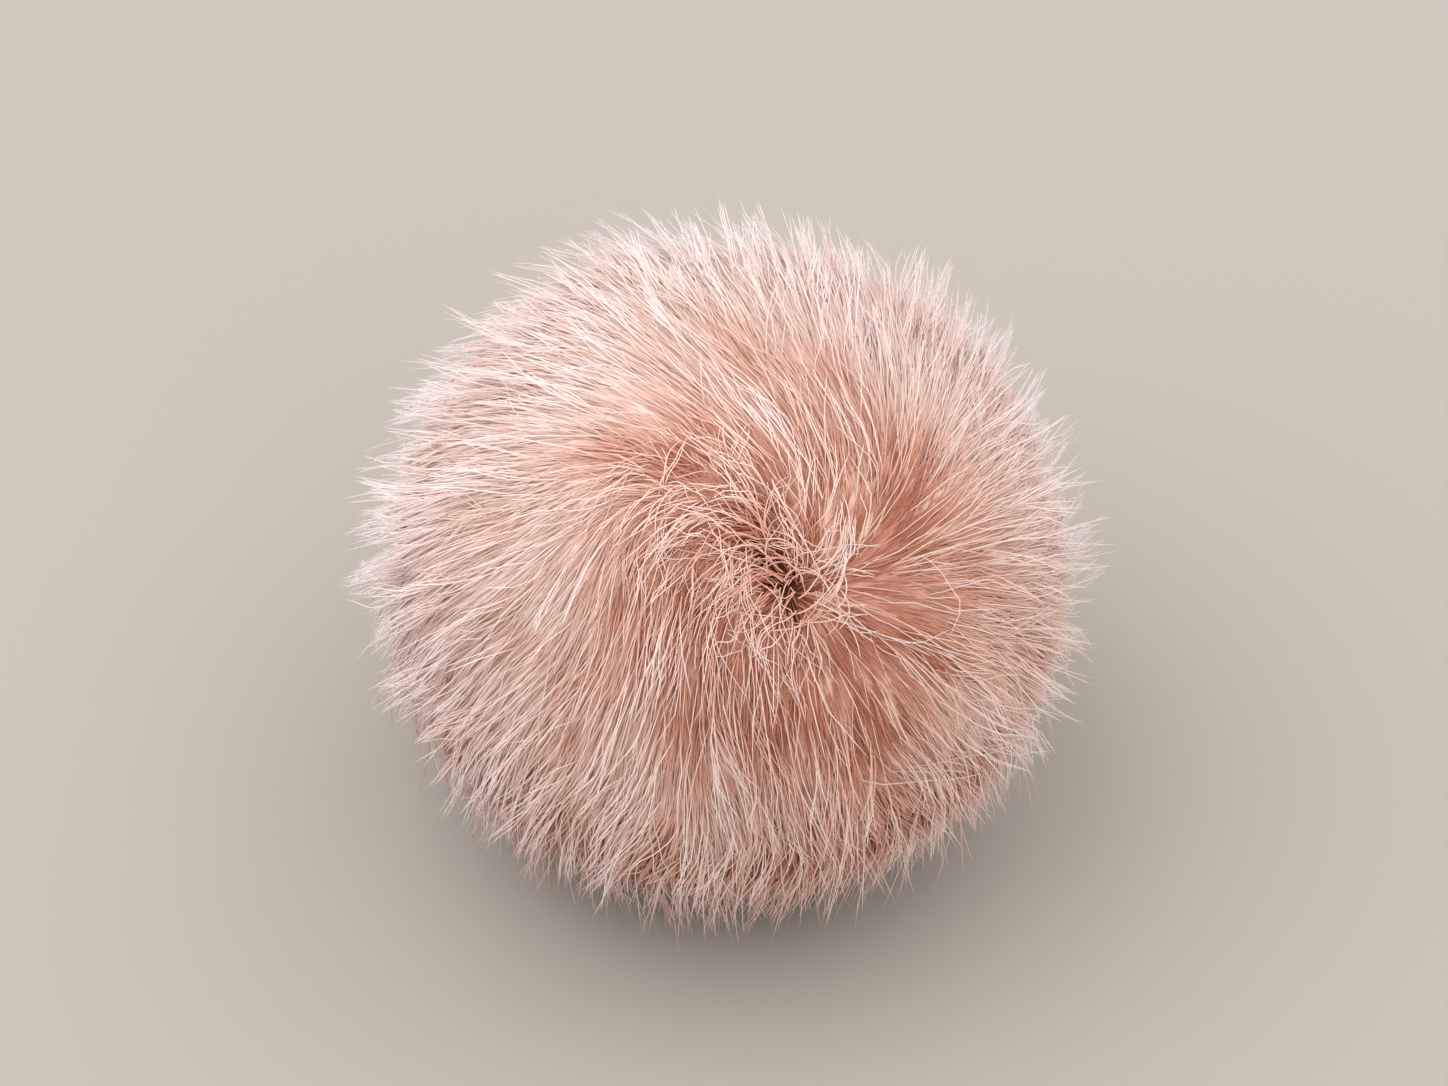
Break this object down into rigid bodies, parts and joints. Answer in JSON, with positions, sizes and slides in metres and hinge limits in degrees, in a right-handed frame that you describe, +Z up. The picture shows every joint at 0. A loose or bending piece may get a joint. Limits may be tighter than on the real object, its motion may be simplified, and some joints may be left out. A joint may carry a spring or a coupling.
{
  "type": "fur pom pom",
  "caption": "Round fur pom pom of long, soft, dusty-pink hair brushed away from a whorl on its front, with a small flat spot underneath to rest on.",
  "frame": {"origin": "on the surface that the ball rests on, at the middle of the ball's footprint", "axes": "+Z up; the whorl in the hair faces -Y and upwards; +X to the right of someone who looks at the whorl"},
  "size_m": [0.0784, 0.0786, 0.0671],
  "materials": {
    "fur": "long soft pile in dusty pink, paler at the tips, matt with a faint sheen"
  },
  "bodies": {
    "root": {"fur_ball": "fur"}
  },
  "joints": []
}
